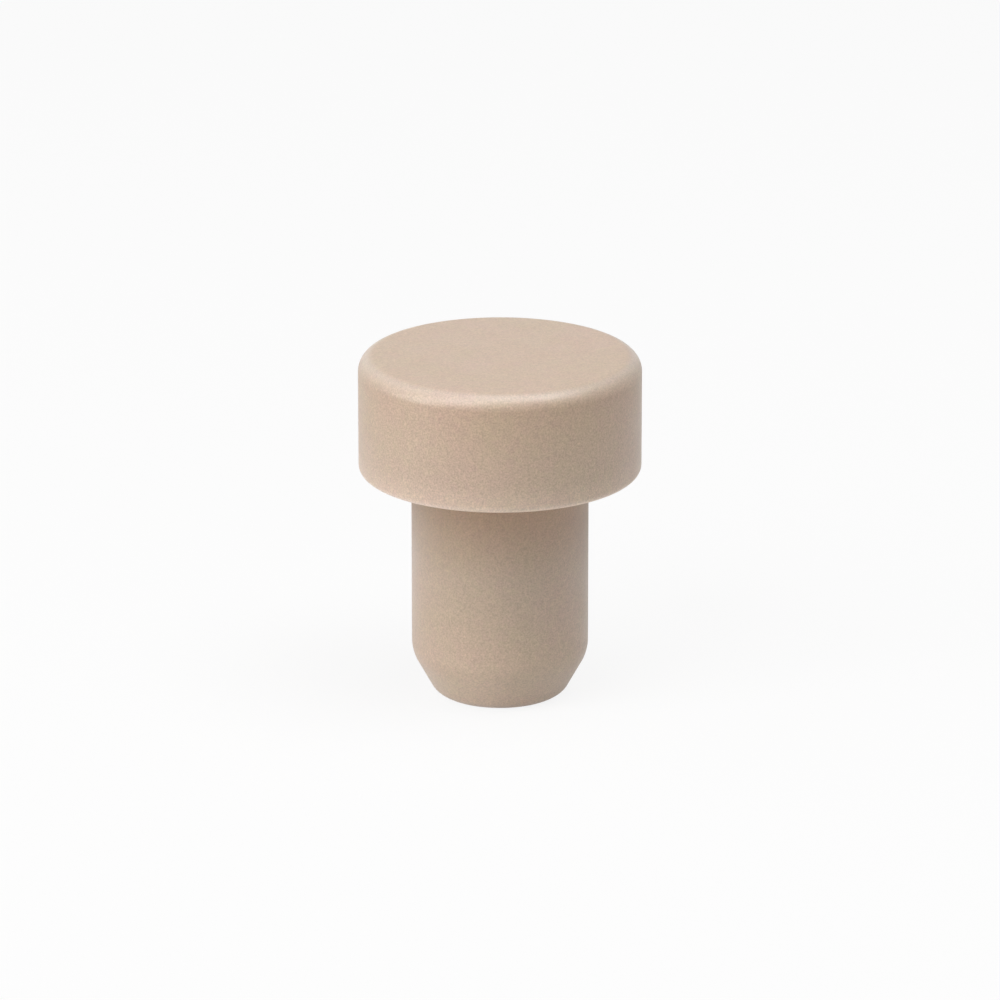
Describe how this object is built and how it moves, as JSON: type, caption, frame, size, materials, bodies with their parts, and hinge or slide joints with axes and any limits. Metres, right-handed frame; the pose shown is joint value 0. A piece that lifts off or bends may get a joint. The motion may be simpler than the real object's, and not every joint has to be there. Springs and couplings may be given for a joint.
{
  "type": "cork stopper",
  "caption": "One-piece cork bottle stopper: a broad round head with softly rounded edges above a straight round shank that ends in a short tapered tip.",
  "frame": {"origin": "centre of the tip's flat face, which the stopper stands on", "axes": "+Z along the stopper's axis, from the tip up to the top of the head"},
  "size_m": [0.0303, 0.0302, 0.0379],
  "materials": {
    "cork": "satin, very fine even grain"
  },
  "bodies": {
    "root": {"stopper": "cork"}
  },
  "joints": []
}
